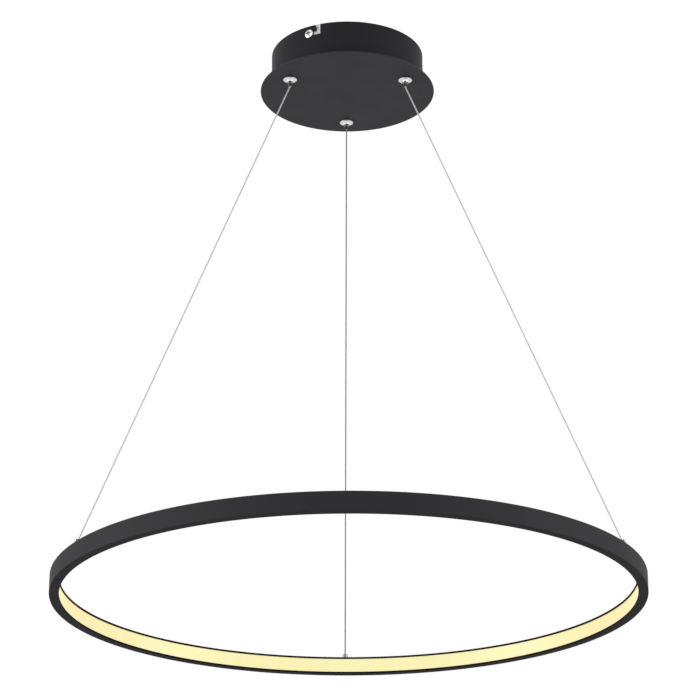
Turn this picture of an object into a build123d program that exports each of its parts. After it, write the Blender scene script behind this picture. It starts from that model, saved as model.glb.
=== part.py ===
"""Ring pendant lamp: a slim lit ring on three slanted steel wires under a round ceiling canopy.

All sizes are in millimetres. The ceiling is the plane z = 0, the lamp hangs towards -Z, and
the viewer stands on the -Y side. Azimuths are counted from +X towards +Y.
"""

import os
from math import asin, atan2, cos, degrees, hypot, radians, sin, tan

from build123d import *

# ---------------------------------------------------------------- driving dimensions

# Ring: a U-profile rolled to a circle, open towards the inside
ring_outer_radius = 300.0
ring_width = 10.0
ring_height = 18.7
ring_wall = 2.0  # top and bottom
ring_web = 1.2
ring_drop = 616.8  # ceiling to the ring's underside
ring_edge_round = 0.4
groove_depth = 0.4  # grooves inside the lips hold the diffuser's edges
lip_length = 1.0  # lip in front of each groove

# Diffuser and LED strip
diffuser_thickness = 1.0
diffuser_clearance = 0.1
strip_thickness = 0.5
strip_height = 8.0
strip_tape = 0.1
led_count = 108
led_length = 3.5
led_height = 2.8
led_thickness = 0.8

# Canopy: a drum on a wider disc
rim_gap = 0.5  # ceiling to the drum's rim
drum_outer_radius = 82.4
drum_height = 41.5
drum_wall = 1.0
plate_radius = 94.25
plate_thickness = 1.5
plate_edge_round = 0.4

# Bayonet slots, screws and bracket
screw_azimuth = 240.5
screw_depth = 9.8  # ceiling to the screws' axis
twist_angle = 7.5  # turn from the slot's closed end to its mouth
screw_radius = 2.0
slot_clearance = 0.4
slot_lead_in = 1.4
screw_head_radius = 4.7
screw_head_height = 2.6
screw_head_edge = 0.7
screw_seat_gap = 0.15
screw_tip_length = 2.0
recess_length = 4.6
recess_width = 0.9
recess_depth = 1.4
recess_taper = 12.0
thread_clearance = 0.05
bracket_thickness = 1.5
bracket_width = 26.0
bracket_clearance = 0.3  # between the tabs and the drum's wall
tab_length = 19.0
tab_corner_round = 4.0
collar_length = 1.6
collar_wall = 1.3
ceiling_hole_radius = 2.6
ceiling_hole_circle = 60.0
earth_screw_offset = 17.0
earth_head_radius = 3.8
earth_head_height = 2.2

# LED driver in the canopy
driver_length = 96.0
driver_width = 36.0
driver_height = 21.0
driver_offset = 8.0  # towards the far wire
driver_corner_round = 3.0
cover_length = 12.0
cover_inset = 1.0
cover_notch = 9.0
pad_thickness = 1.5
pad_inset = 6.0

# Wires and their grippers
wire_radius = 0.75
gripper_wall_gap = 3.35  # from the nuts' corners to the drum's wall
hanger_azimuths = {"left": 208.4, "right": 333.2, "back": 90.8}
flange_radius = 7.75
flange_edge = 1.3
flange_height = 3.4
flange_bulge = 0.12  # rise of the domed side, as a share of the flange's radius
neck_radius = 2.75
neck_length = 5.6
shank_radius = 5.0
shank_clearance = 0.1
nut_flats = 14.0
nut_height = 3.0
running_clearance = 0.08
plunger_radius = 1.75
plunger_waist = 0.15  # how far the stem is drawn in above the tip's rim
plunger_tip_margin = 0.9  # tip left outside the neck when pressed
plunger_rim_height = 0.7
plunger_bore_clearance = 0.15
flare_radius = 1.5
flare_length = 1.5
plunger_stroke = 2.5
shoulder_height = 1.5  # of the stop inside the body
plunger_seat_gap = 0.3
cage_radius = 2.2
cage_height = 4.7
cone_foot_clearance = 0.2
cone_height = 6.0
cone_angle = 8.5
ball_count = 3
ball_radius = 1.0
ball_clearance = 0.03
window_clearance = 0.06
chamber_radius = 3.6
plug_height = 2.0
plug_clearance = 0.05
spring_radius = 1.9
spring_wire = 0.5
spring_turns = 5
spring_end_gap = 0.05
spring_spare = 0.5  # left between the coils when pressed

# Wire ends, each in a crimped ferrule
holder_radius = 2.9
holder_height = 4.2
holder_cup_radius = 2.4
holder_cup_floor = 1.2
holder_stud_radius = 1.75
holder_stud_length = 2.2  # below the ring's upper wall
holder_clearance = 0.05
holder_nut_radius = 2.5
holder_nut_height = 1.6
holder_nut_gap = 0.5  # from the nut to the diffuser's back
wire_stub_length = 2.0  # upright wire above the ring's top
ferrule_radius = 1.5
ferrule_length = 3.0
ferrule_gap = 0.1
stop_gap = 1.0  # from the gripper to the ferrule on the wire's upper end

# ---------------------------------------------------------------- derived places

ring_bottom = -ring_drop
ring_top = ring_bottom + ring_height
ring_inner_radius = ring_outer_radius - ring_width
web_inner_radius = ring_outer_radius - ring_web
groove_front_radius = ring_inner_radius + lip_length
diffuser_front_radius = groove_front_radius + diffuser_clearance
diffuser_back_radius = diffuser_front_radius + diffuser_thickness
groove_back_radius = diffuser_back_radius + diffuser_clearance
holder_circle_radius = diffuser_back_radius + holder_nut_gap + holder_nut_radius

rim_height = -rim_gap
plate_top = rim_height - drum_height
plate_bottom = plate_top - plate_thickness
drum_inner_radius = drum_outer_radius - drum_wall
nut_corner_radius = nut_flats / 2 / cos(radians(30))
gripper_circle_radius = drum_inner_radius - gripper_wall_gap - nut_corner_radius
tab_outer_radius = drum_inner_radius - bracket_clearance
tab_inner_radius = tab_outer_radius - bracket_thickness
slot_width = 2 * (screw_radius + slot_clearance)
twist_arc = drum_outer_radius * radians(twist_angle)
screw_azimuths = {"front": screw_azimuth, "rear": screw_azimuth - 180}

body_bore_radius = plunger_radius + running_clearance
wire_bore_radius = wire_radius + plunger_bore_clearance
plunger_tip_length = neck_length + plunger_stroke + plunger_tip_margin
throat_height = plate_bottom - plunger_tip_length + flare_length
cage_foot = shoulder_height + plunger_seat_gap
cage_top = cage_foot + cage_height
cone_foot_radius = cage_radius + cone_foot_clearance
cone_top_radius = cone_foot_radius + cone_height * tan(radians(cone_angle))
ball_circle_radius = wire_radius + ball_radius + ball_clearance
ball_reach = ball_circle_radius + (ball_radius + ball_clearance) / cos(radians(cone_angle))
ball_height = shoulder_height + (ball_reach - cone_foot_radius) / tan(radians(cone_angle))
spring_solid_length = (spring_turns + 1) * spring_wire
plug_foot = cage_top + plunger_stroke + spring_solid_length + spring_spare
shank_length = plug_foot + plug_height
wire_end_height = ring_top + wire_stub_length


# ---------------------------------------------------------------- helpers

def point_at(radius, azimuth, height):
    """A point given by its radius and azimuth about the lamp's axis."""
    return Vector(radius * cos(radians(azimuth)), radius * sin(radians(azimuth)), height)


def hanger_places(radius):
    """The plan positions of the three hangers on a circle."""
    return [tuple(point_at(radius, azimuth, 0))[:2] for azimuth in hanger_azimuths.values()]


def radial_plane(radius, azimuth, height):
    """An upright plane whose x runs outwards and whose y runs up, for a turned profile."""
    outward = point_at(1, azimuth, 0)
    across = point_at(1, azimuth - 90, 0)
    return Plane(point_at(radius, azimuth, height), x_dir=outward, z_dir=across)


def facing_plane(radius, azimuth, height):
    """A plane that faces outwards, with x towards rising azimuths and y up."""
    sideways = point_at(1, azimuth + 90, 0)
    return Plane(point_at(radius, azimuth, height), x_dir=sideways, z_dir=point_at(1, azimuth, 0))


def upright_axis(plane):
    """The vertical axis through a plane's origin."""
    return Axis(plane.origin, (0, 0, 1))


def write(builder, name):
    """Labels a finished sub-part and writes it."""
    builder.part.label = name
    export_step(builder.part, f"parts/{name}.step")


os.makedirs("parts", exist_ok=True)

# ---------------------------------------------------------------- ring

with BuildPart() as ring_housing:
    with BuildSketch(Plane.XZ):
        with BuildLine():
            wall_top = ring_top - ring_wall
            wall_bottom = ring_bottom + ring_wall
            Polyline(
                (ring_inner_radius, ring_bottom),
                (ring_outer_radius, ring_bottom),
                (ring_outer_radius, ring_top),
                (ring_inner_radius, ring_top),
                (ring_inner_radius, wall_top),
                (groove_front_radius, wall_top),
                (groove_front_radius, wall_top + groove_depth),
                (groove_back_radius, wall_top + groove_depth),
                (groove_back_radius, wall_top),
                (web_inner_radius, wall_top),
                (web_inner_radius, wall_bottom),
                (groove_back_radius, wall_bottom),
                (groove_back_radius, wall_bottom - groove_depth),
                (groove_front_radius, wall_bottom - groove_depth),
                (groove_front_radius, wall_bottom),
                (ring_inner_radius, wall_bottom),
                close=True,
            )
        profile = make_face()
        fillet(profile.vertices().group_by(Axis.X)[-1], radius=ring_edge_round)
    revolve(axis=Axis.Z)
    with Locations(Plane.XY.offset(ring_top)):
        with Locations(*hanger_places(holder_circle_radius)):
            Hole(radius=holder_stud_radius + holder_clearance, depth=2 * ring_wall)
write(ring_housing, "ring_housing")

with BuildPart() as ring_diffuser:
    edge_depth = groove_depth - diffuser_clearance
    band_foot = ring_bottom + ring_wall - edge_depth
    band_height = ring_height - 2 * (ring_wall - edge_depth)
    with BuildSketch(Plane.XY.offset(band_foot)):
        Circle(diffuser_back_radius)
        Circle(diffuser_front_radius, mode=Mode.SUBTRACT)
    extrude(amount=band_height)
write(ring_diffuser, "ring_diffuser")

with BuildPart() as led_strip:
    strip_outer_radius = web_inner_radius - strip_tape
    strip_inner_radius = strip_outer_radius - strip_thickness
    strip_middle = ring_bottom + ring_height / 2
    with BuildSketch(Plane.XY.offset(strip_middle - strip_height / 2)):
        Circle(strip_outer_radius)
        Circle(strip_inner_radius, mode=Mode.SUBTRACT)
    extrude(amount=strip_height)
    led_reach = led_thickness + strip_thickness / 2
    with Locations(Plane.XY.offset(strip_middle)):
        with PolarLocations(strip_inner_radius - led_thickness + led_reach / 2, led_count):
            Box(led_reach, led_length, led_height)
write(led_strip, "led_strip")

# ---------------------------------------------------------------- wire ends on the ring

for side, azimuth in hanger_azimuths.items():
    seat = radial_plane(holder_circle_radius, azimuth, ring_top)
    stub_bore = wire_radius + holder_clearance
    stud_foot = -ring_wall - holder_stud_length

    with BuildPart() as wire_holder:
        with BuildSketch(seat):
            with BuildLine():
                Polyline(
                    (stub_bore, stud_foot),
                    (holder_stud_radius, stud_foot),
                    (holder_stud_radius, 0),
                    (holder_radius, 0),
                    (holder_radius, holder_height),
                    (holder_cup_radius, holder_height),
                    (holder_cup_radius, holder_cup_floor),
                    (stub_bore, holder_cup_floor),
                    close=True,
                )
            make_face()
        revolve(axis=upright_axis(seat))
    write(wire_holder, f"wire_holder_{side}")

    with BuildPart() as holder_nut:
        with BuildSketch(Plane.XY.offset(ring_top - ring_wall)):
            with Locations(tuple(seat.origin)[:2]):
                Circle(holder_nut_radius)
                Circle(holder_stud_radius + holder_clearance, mode=Mode.SUBTRACT)
        extrude(amount=-holder_nut_height)
    write(holder_nut, f"holder_nut_{side}")

    with BuildPart() as wire_end:
        ferrule_top = stud_foot - ferrule_gap
        with BuildSketch(seat):
            with BuildLine():
                Polyline(
                    (0, ferrule_top - ferrule_length),
                    (ferrule_radius, ferrule_top - ferrule_length),
                    (ferrule_radius, ferrule_top),
                    (wire_radius, ferrule_top),
                    (wire_radius, wire_stub_length),
                    (0, wire_stub_length),
                    close=True,
                )
            make_face()
        revolve(axis=upright_axis(seat))
    write(wire_end, f"wire_end_{side}")

# ---------------------------------------------------------------- canopy shell

with BuildPart() as canopy_drum:
    with BuildSketch(Plane.XY.offset(plate_top)):
        Circle(drum_outer_radius)
        Circle(drum_inner_radius, mode=Mode.SUBTRACT)
    extrude(amount=drum_height)
    for azimuth in screw_azimuths.values():
        slot_face = facing_plane(drum_outer_radius, azimuth + twist_angle / 2, -screw_depth)
        mouth = twist_arc / 2
        half = slot_width / 2
        above_rim = screw_depth - rim_gap + drum_wall
        with BuildSketch(slot_face):
            with BuildLine():
                Polyline(
                    (-mouth, -half),
                    (mouth + half, -half),
                    (mouth + half, above_rim),
                    (mouth - half - slot_lead_in, above_rim),
                    (mouth - half - slot_lead_in, above_rim - drum_wall),
                    (mouth - half, above_rim - drum_wall - 2 * slot_lead_in),
                    (mouth - half, half),
                    (-mouth, half),
                    close=True,
                )
            make_face()
            with Locations((-mouth, 0)):
                Circle(half)
        extrude(amount=3 * drum_wall, both=True, mode=Mode.SUBTRACT)
write(canopy_drum, "canopy_drum")

with BuildPart() as canopy_plate:
    with BuildSketch(Plane.XY.offset(plate_bottom)):
        Circle(plate_radius)
        with Locations(*hanger_places(gripper_circle_radius)):
            Circle(shank_radius + shank_clearance, mode=Mode.SUBTRACT)
    extrude(amount=plate_thickness)
    rim = canopy_plate.edges().filter_by(GeomType.CIRCLE)
    fillet(rim.filter_by(lambda edge: edge.radius == plate_radius), radius=plate_edge_round)
write(canopy_plate, "canopy_plate")

# ---------------------------------------------------------------- bracket and screws

with BuildPart() as mounting_bracket:
    strip_plane = Plane((0, 0, 0), x_dir=point_at(1, screw_azimuth, 0), z_dir=(0, 0, 1))
    with BuildSketch(strip_plane):
        Circle(tab_outer_radius)
        Rectangle(2 * tab_outer_radius, bracket_width, mode=Mode.INTERSECT)
    extrude(amount=-tab_length)
    with BuildSketch(strip_plane.offset(-bracket_thickness)):
        Circle(tab_inner_radius)
    extrude(amount=-tab_length, mode=Mode.SUBTRACT)
    tab_foot = mounting_bracket.edges().group_by(Axis.Z)[0]
    fillet(tab_foot.filter_by(GeomType.LINE), radius=tab_corner_round)
    with BuildSketch(strip_plane):
        with PolarLocations(ceiling_hole_circle / 2, 2):
            Circle(ceiling_hole_radius)
        with Locations((earth_screw_offset, 0)):
            Circle(screw_radius + thread_clearance)
    extrude(amount=-bracket_thickness, mode=Mode.SUBTRACT)
    for azimuth in screw_azimuths.values():
        tab_face = facing_plane(tab_inner_radius + bracket_thickness / 2, azimuth, -screw_depth)
        with BuildSketch(tab_face):
            Circle(screw_radius + thread_clearance + collar_wall)
        extrude(amount=-(collar_length + bracket_thickness / 2))
        with BuildSketch(tab_face):
            Circle(screw_radius + thread_clearance)
        extrude(amount=2 * bracket_thickness + collar_length, both=True, mode=Mode.SUBTRACT)
write(mounting_bracket, "mounting_bracket")

for place, azimuth in screw_azimuths.items():
    with BuildPart() as canopy_screw:
        head_seat = drum_outer_radius + screw_seat_gap
        head_top = head_seat + screw_head_height
        shank_tip = tab_inner_radius - collar_length - screw_tip_length
        dome_rise = screw_head_height - screw_head_edge
        dome_radius = (dome_rise**2 + screw_head_radius**2) / (2 * dome_rise)
        half_dome = asin(screw_head_radius / dome_radius) / 2
        with BuildSketch(radial_plane(0, azimuth, -screw_depth)):
            with BuildLine():
                sides = Polyline(
                    (shank_tip, 0),
                    (shank_tip, screw_radius),
                    (head_seat, screw_radius),
                    (head_seat, screw_head_radius),
                    (head_seat + screw_head_edge, screw_head_radius),
                )
                ThreePointArc(
                    sides @ 1,
                    (
                        head_top - dome_radius * (1 - cos(half_dome)),
                        dome_radius * sin(half_dome),
                    ),
                    (head_top, 0),
                )
                Line((head_top, 0), (shank_tip, 0))
            make_face()
        revolve(axis=Axis(point_at(0, azimuth, -screw_depth), point_at(1, azimuth, 0)))
        with BuildSketch(facing_plane(head_top, azimuth, -screw_depth)):
            Rectangle(recess_length, recess_width)
            Rectangle(recess_width, recess_length)
        extrude(amount=-recess_depth, taper=recess_taper, mode=Mode.SUBTRACT)
    write(canopy_screw, f"canopy_screw_{place}")

with BuildPart() as earth_screw:
    earth_seat = radial_plane(earth_screw_offset, screw_azimuth, -bracket_thickness)
    with BuildSketch(earth_seat):
        with BuildLine():
            Polyline(
                (0, -earth_head_height),
                (earth_head_radius, -earth_head_height),
                (earth_head_radius, 0),
                (screw_radius, 0),
                (screw_radius, bracket_thickness - thread_clearance),
                (0, bracket_thickness - thread_clearance),
                close=True,
            )
        make_face()
    revolve(axis=upright_axis(earth_seat))
    with BuildSketch(Plane.XY.offset(-bracket_thickness - earth_head_height)):
        with Locations(tuple(earth_seat.origin)[:2]):
            Rectangle(2 * earth_head_radius, recess_width)
    extrude(amount=recess_width, mode=Mode.SUBTRACT)
write(earth_screw, "earth_screw")

# ---------------------------------------------------------------- LED driver

driver_foot = plate_top + pad_thickness

with BuildPart() as driver_pad:
    with BuildSketch(Plane.XY.offset(plate_top)):
        with Locations((0, driver_offset)):
            Rectangle(driver_length - 2 * pad_inset, driver_width - pad_inset)
    extrude(amount=pad_thickness)
write(driver_pad, "driver_pad")

with BuildPart() as led_driver:
    with BuildSketch(Plane.XY.offset(driver_foot)):
        with Locations((0, driver_offset)):
            Rectangle(driver_length, driver_width)
    extrude(amount=driver_height)
    fillet(led_driver.edges().filter_by(Axis.X), radius=driver_corner_round)
write(led_driver, "led_driver")

for end, direction in {"input": -1, "output": 1}.items():
    with BuildPart() as driver_cover:
        cover_width = driver_width - 2 * cover_inset
        cover_middle = direction * (driver_length + cover_length) / 2
        with BuildSketch(Plane.XY.offset(driver_foot)):
            with Locations((cover_middle, driver_offset)):
                Rectangle(cover_length, cover_width)
        extrude(amount=driver_height - cover_inset)
        outer_end = driver_cover.faces().sort_by(Axis.X)[-1 if direction > 0 else 0]
        fillet(outer_end.edges().sort_by(Axis.Z)[-1], radius=driver_corner_round)
        with BuildSketch(Plane.XY.offset(driver_foot)):
            with Locations((cover_middle + direction * cover_length / 2, driver_offset)):
                RectangleRounded(cover_length, cover_notch, cover_inset)
        extrude(amount=driver_height / 2, mode=Mode.SUBTRACT)
    write(driver_cover, f"driver_cover_{end}")

# ---------------------------------------------------------------- wire grippers

for side, azimuth in hanger_azimuths.items():
    seat = radial_plane(gripper_circle_radius, azimuth, plate_bottom)
    centre = tuple(seat.origin)[:2]

    with BuildPart() as gripper_body:
        with BuildSketch(seat):
            with BuildLine():
                flange = Polyline(
                    (shank_radius, 0),
                    (flange_radius, 0),
                    (flange_radius, -flange_edge),
                )
                dome = SagittaArc(
                    flange @ 1,
                    (neck_radius, -flange_height),
                    sagitta=-flange_bulge * flange_radius,
                )
                Polyline(
                    dome @ 1,
                    (neck_radius, -neck_length),
                    (body_bore_radius, -neck_length),
                    (body_bore_radius, shoulder_height),
                    (cone_foot_radius, shoulder_height),
                    (cone_top_radius, shoulder_height + cone_height),
                    (chamber_radius, shoulder_height + cone_height),
                    (chamber_radius, shank_length),
                    (shank_radius, shank_length),
                    (shank_radius, 0),
                )
            make_face()
        revolve(axis=upright_axis(seat))
    write(gripper_body, f"gripper_body_{side}")

    with BuildPart() as gripper_nut:
        with BuildSketch(Plane.XY.offset(plate_top)):
            with Locations(Location((*centre, 0), azimuth)):
                RegularPolygon(nut_flats / 2, 6, major_radius=False)
                Circle(shank_radius + thread_clearance, mode=Mode.SUBTRACT)
        extrude(amount=nut_height)
    write(gripper_nut, f"gripper_nut_{side}")

    with BuildPart() as gripper_plug:
        with BuildSketch(Plane.XY.offset(plate_bottom + plug_foot)):
            with Locations(centre):
                Circle(chamber_radius - plug_clearance)
                Circle(wire_bore_radius, mode=Mode.SUBTRACT)
        extrude(amount=plug_height)
    write(gripper_plug, f"gripper_plug_{side}")

    with BuildPart() as plunger:
        stem_radius = plunger_radius - plunger_waist
        with BuildSketch(seat):
            with BuildLine():
                Polyline(
                    (flare_radius, -plunger_tip_length),
                    (plunger_radius, -plunger_tip_length),
                    (plunger_radius, -plunger_tip_length + plunger_rim_height),
                    (stem_radius, -plunger_tip_length + plunger_rim_height + plunger_waist),
                    (stem_radius, cage_foot),
                    (cage_radius, cage_foot),
                    (cage_radius, cage_top),
                    (wire_bore_radius, cage_top),
                    (wire_bore_radius, -plunger_tip_length + flare_length),
                    close=True,
                )
            make_face()
        revolve(axis=upright_axis(seat))
        for number in range(ball_count):
            window = Plane(
                point_at(gripper_circle_radius, azimuth, plate_bottom + ball_height),
                x_dir=(0, 0, 1),
                z_dir=point_at(1, azimuth + (number + 0.5) * 360 / ball_count, 0),
            )
            with BuildSketch(window):
                Circle(ball_radius + window_clearance)
            extrude(amount=2 * cage_radius, mode=Mode.SUBTRACT)
    write(plunger, f"plunger_{side}")

    with BuildPart() as gripper_balls:
        with Locations(Location((*centre, plate_bottom + ball_height), azimuth)):
            with PolarLocations(ball_circle_radius, ball_count, start_angle=180 / ball_count):
                Sphere(ball_radius)
    write(gripper_balls, f"gripper_balls_{side}")

    with BuildPart() as gripper_spring:
        spring_foot = cage_top + spring_end_gap
        spring_length = plug_foot - cage_top - 2 * spring_end_gap
        with BuildLine():
            coil = Helix(
                pitch=(spring_length - spring_wire) / spring_turns,
                height=spring_length - spring_wire,
                radius=spring_radius,
                center=(*centre, plate_bottom + spring_foot + spring_wire / 2),
            )
        with BuildSketch(Plane(coil @ 0, x_dir=(0, 0, 1), z_dir=coil % 0)):
            Rectangle(spring_wire, spring_wire)
        sweep(path=coil, is_frenet=True)
    write(gripper_spring, f"gripper_spring_{side}")

# ---------------------------------------------------------------- wires

wire_run = holder_circle_radius - gripper_circle_radius
wire_fall = throat_height - wire_end_height
wire_length = hypot(wire_run, wire_fall)
wire_slant = atan2(wire_run, wire_fall)
print(f"free wire {wire_length:.1f} mm, {degrees(wire_slant):.1f} degrees from plumb")

for side, azimuth in hanger_azimuths.items():
    with BuildPart() as suspension_wire:
        throat = point_at(gripper_circle_radius, azimuth, throat_height)
        landing = point_at(holder_circle_radius, azimuth, wire_end_height)
        level = Plane(throat, x_dir=point_at(1, azimuth, 0), z_dir=(0, 0, 1))
        with BuildSketch(level):
            Ellipse(wire_radius / cos(wire_slant), wire_radius)
        extrude(amount=wire_length, dir=landing - throat)
    write(suspension_wire, f"suspension_wire_{side}")

    with BuildPart() as wire_tail:
        seat = radial_plane(gripper_circle_radius, azimuth, plate_bottom)
        stop_foot = shank_length + stop_gap
        with BuildSketch(seat):
            with BuildLine():
                Polyline(
                    (0, throat_height - plate_bottom),
                    (wire_radius, throat_height - plate_bottom),
                    (wire_radius, stop_foot),
                    (ferrule_radius, stop_foot),
                    (ferrule_radius, stop_foot + ferrule_length),
                    (0, stop_foot + ferrule_length),
                    close=True,
                )
            make_face()
        revolve(axis=upright_axis(seat))
    write(wire_tail, f"wire_tail_{side}")
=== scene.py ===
"""Dresses the CAD frame of a ring pendant lamp: rope wires, coated shells, a lit band, fittings.

Lengths are in metres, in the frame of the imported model: the ceiling is the plane z = 0, the lamp
hangs towards -Z, and the viewer stands on the -Y side.
"""

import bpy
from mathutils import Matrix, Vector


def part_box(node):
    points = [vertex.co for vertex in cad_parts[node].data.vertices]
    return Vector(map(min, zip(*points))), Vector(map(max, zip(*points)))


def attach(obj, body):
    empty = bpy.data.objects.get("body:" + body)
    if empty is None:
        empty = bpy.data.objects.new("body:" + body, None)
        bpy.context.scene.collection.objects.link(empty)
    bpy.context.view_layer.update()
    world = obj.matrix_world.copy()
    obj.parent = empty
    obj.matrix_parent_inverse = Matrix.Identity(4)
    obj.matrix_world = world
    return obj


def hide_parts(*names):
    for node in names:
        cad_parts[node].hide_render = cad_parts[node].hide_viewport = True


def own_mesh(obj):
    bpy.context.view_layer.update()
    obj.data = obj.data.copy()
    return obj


bl_info = {
    "name": "Ring Pendant Lamp",
    "version": (1, 0, 0),
    "blender": (4, 5, 0),
    "location": "View3D > Sidebar > Ring Lamp",
    "description": "Builds the visible pieces and finishes of a ring pendant lamp on its CAD frame",
    "category": "Add Mesh",
}

from math import asin, cos, hypot, pi, radians, sin, tan

import bmesh
import bpy
from bpy.props import FloatProperty, FloatVectorProperty, IntProperty, PointerProperty
from bpy.types import Operator, Panel, PropertyGroup
from mathutils import Matrix, Vector

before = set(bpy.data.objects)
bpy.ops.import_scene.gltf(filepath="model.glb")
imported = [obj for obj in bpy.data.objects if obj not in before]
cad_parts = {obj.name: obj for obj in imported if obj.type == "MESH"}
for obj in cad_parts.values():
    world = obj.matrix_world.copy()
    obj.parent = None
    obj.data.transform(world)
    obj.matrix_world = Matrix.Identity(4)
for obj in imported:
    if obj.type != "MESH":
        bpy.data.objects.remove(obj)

MM = 0.001
SIDES = ("left", "right", "back")
SCREW_AZIMUTHS = {"front": radians(240.5), "rear": radians(60.5)}

# Steps round a turned piece
RING_STEPS, CANOPY_STEPS, GRIPPER_STEPS = 360, 240, 72
SCREW_STEPS, CUP_STEPS, HOLE_STEPS = 64, 48, 32

# Ring and diffuser
DIFFUSER_PLAY = 0.1 * MM  # between the diffuser and its grooves
LIP_ROUND = 0.25 * MM
CHIP_FACE = 0.75 * MM  # the strip's back to a plane between its board's face and its chips' faces

# Wire cups on the ring, and the wires that run into them
CUP_BORE_PLAY = 0.05 * MM
CUP_STUD_RADIUS = 1.75 * MM
CUP_WALL = 0.5 * MM
CUP_FLOOR = 1.2 * MM
CUP_FOOT_ROUND = 0.1 * MM
# Depth of the band under the cup's rim that gets painted shade
CUP_RIM_SHADE_DEPTH = 0.8 * MM
LEAD_DIAMETERS = 6  # from a wire's edge to the point that starts its straight run
MARKS_PER_LAY = 15  # rope sections in one lay, at most

# Canopy
RIM_ROUND = 0.25 * MM
PLATE_HOLE_RADIUS = 5.1 * MM

# Canopy screws
SCREW_SEAT_GAP = 0.15 * MM
SCREW_REACH = 6.4 * MM  # the drum's outside to the screw's tip
HEAD_SKIRT = 0.7 * MM
HEAD_CHAMFER = 0.15 * MM
DOME_CUTS = 12
RECESS_REACH, RECESS_HALF_WIDTH, RECESS_DEPTH = 2.9 * MM, 0.7 * MM, 1.5 * MM
RECESS_TAPER = 0.55  # length of the recess's floor, as a share of its mouth
RECESS_FACE_DEPTH = 0.1 * MM  # faces farther than this under the dome are the recess's own

# Wire grippers, with heights counted from the canopy disc's underside
NECK_RADIUS = 2.75 * MM
SHANK_RADIUS = 5.0 * MM
FLANGE_EDGE, DOME_FOOT = -1.3 * MM, -3.4 * MM
DOME_BULGE = 0.12  # rise of the flange's domed side, as a share of its radius
BODY_BORE_RADIUS = 1.83 * MM
CHAMBER_RADIUS, CHAMBER_FOOT = 3.6 * MM, 7.5 * MM
THREAD_FOOT, THREAD_RUNOUT, BODY_THREAD_PITCH = 1.6 * MM, 0.5 * MM, 1.0 * MM
COLLAR_TOP = 1.5 * MM
SPRING_WIRE, SPRING_TURNS, MARKS_PER_TURN = 0.5 * MM, 5, 24


# ---------------------------------------------------------------- places read from the frame

def middle_at(node, height):
    """The middle of a CAD node's box, seen from above, at a height."""
    low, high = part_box(node)
    middle = (low + high) / 2
    return Vector((middle.x, middle.y, height))


RING_LOW, RING_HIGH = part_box("ring_housing")
DIFFUSER_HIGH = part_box("ring_diffuser")[1]
DRUM_LOW, DRUM_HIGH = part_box("canopy_drum")
PLATE_LOW, PLATE_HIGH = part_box("canopy_plate")


# ---------------------------------------------------------------- settings

class RingLampRing(PropertyGroup):
    """Sizes of the ring and of its light."""

    width: FloatProperty(
        name="Width", description="Ring width, outside to inside",
        default=10 * MM, min=0.004, unit="LENGTH",
    )
    wall: FloatProperty(
        name="Wall", description="Top and bottom walls of the rolled profile",
        default=2.0 * MM, min=0.0005, unit="LENGTH",
    )
    web: FloatProperty(
        name="Web", description="Outer wall of the rolled profile",
        default=1.2 * MM, min=0.0005, unit="LENGTH",
    )
    lip: FloatProperty(
        name="Lip", description="Lip in front of the grooves that hold the diffuser",
        default=1.0 * MM, min=0.0002, unit="LENGTH",
    )
    groove: FloatProperty(
        name="Groove", description="Depth of the grooves that hold the diffuser",
        default=0.4 * MM, min=0.0001, unit="LENGTH",
    )
    edge_round: FloatProperty(
        name="Edge round", description="Rounding of the profile's outer edges",
        default=0.4 * MM, min=0.0, unit="LENGTH",
    )
    glow_colour: FloatVectorProperty(
        name="Glow colour", description="Colour of the lit band",
        default=(0.84, 0.78, 0.385), min=0.0, max=1.0, subtype="COLOR",
    )
    glow_strength: FloatProperty(
        name="Glow strength",
        description="Brightness of the lit band, where 1 shows its own colour",
        default=1.0, min=0.0, subtype="FACTOR",
    )
    led_count: IntProperty(
        name="LEDs", description="Chips behind the lit band, which show faintly through it",
        default=108, min=1,
    )


class RingLampCanopy(PropertyGroup):
    """Sizes of the canopy, its slots and its screws."""

    drum_wall: FloatProperty(
        name="Drum wall", description="Sheet thickness of the drum",
        default=1.0 * MM, min=0.0003, unit="LENGTH",
    )
    edge_round: FloatProperty(
        name="Edge round", description="Rounding of the disc's rim",
        default=0.4 * MM, min=0.0, unit="LENGTH",
    )
    twist: FloatProperty(
        name="Twist", description="Turn from the slot's closed end to its mouth",
        default=radians(7.5), min=0.0, subtype="ANGLE", unit="ROTATION",
    )
    screw_radius: FloatProperty(
        name="Screw radius", description="Radius of the screw's shank",
        default=2.0 * MM, min=0.0005, unit="LENGTH",
    )
    slot_clearance: FloatProperty(
        name="Slot clearance", description="Room between the screw and the slot's edge",
        default=0.4 * MM, min=0.0, unit="LENGTH",
    )
    slot_lead_in: FloatProperty(
        name="Slot lead-in", description="Slanted corner at the slot's mouth",
        default=1.4 * MM, min=0.0, unit="LENGTH",
    )
    screw_depth: FloatProperty(
        name="Screw depth", description="Ceiling to the screws' axis",
        default=9.8 * MM, min=0.0, unit="LENGTH",
    )
    head_radius: FloatProperty(
        name="Head radius", description="Radius of the screw's head",
        default=4.7 * MM, min=0.001, unit="LENGTH",
    )
    head_height: FloatProperty(
        name="Head height", description="Height of the screw's domed head",
        default=2.6 * MM, min=0.0005, unit="LENGTH",
    )
    thread_pitch: FloatProperty(
        name="Thread pitch", description="Pitch of the screw's thread",
        default=0.7 * MM, min=0.0002, unit="LENGTH",
    )


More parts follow.
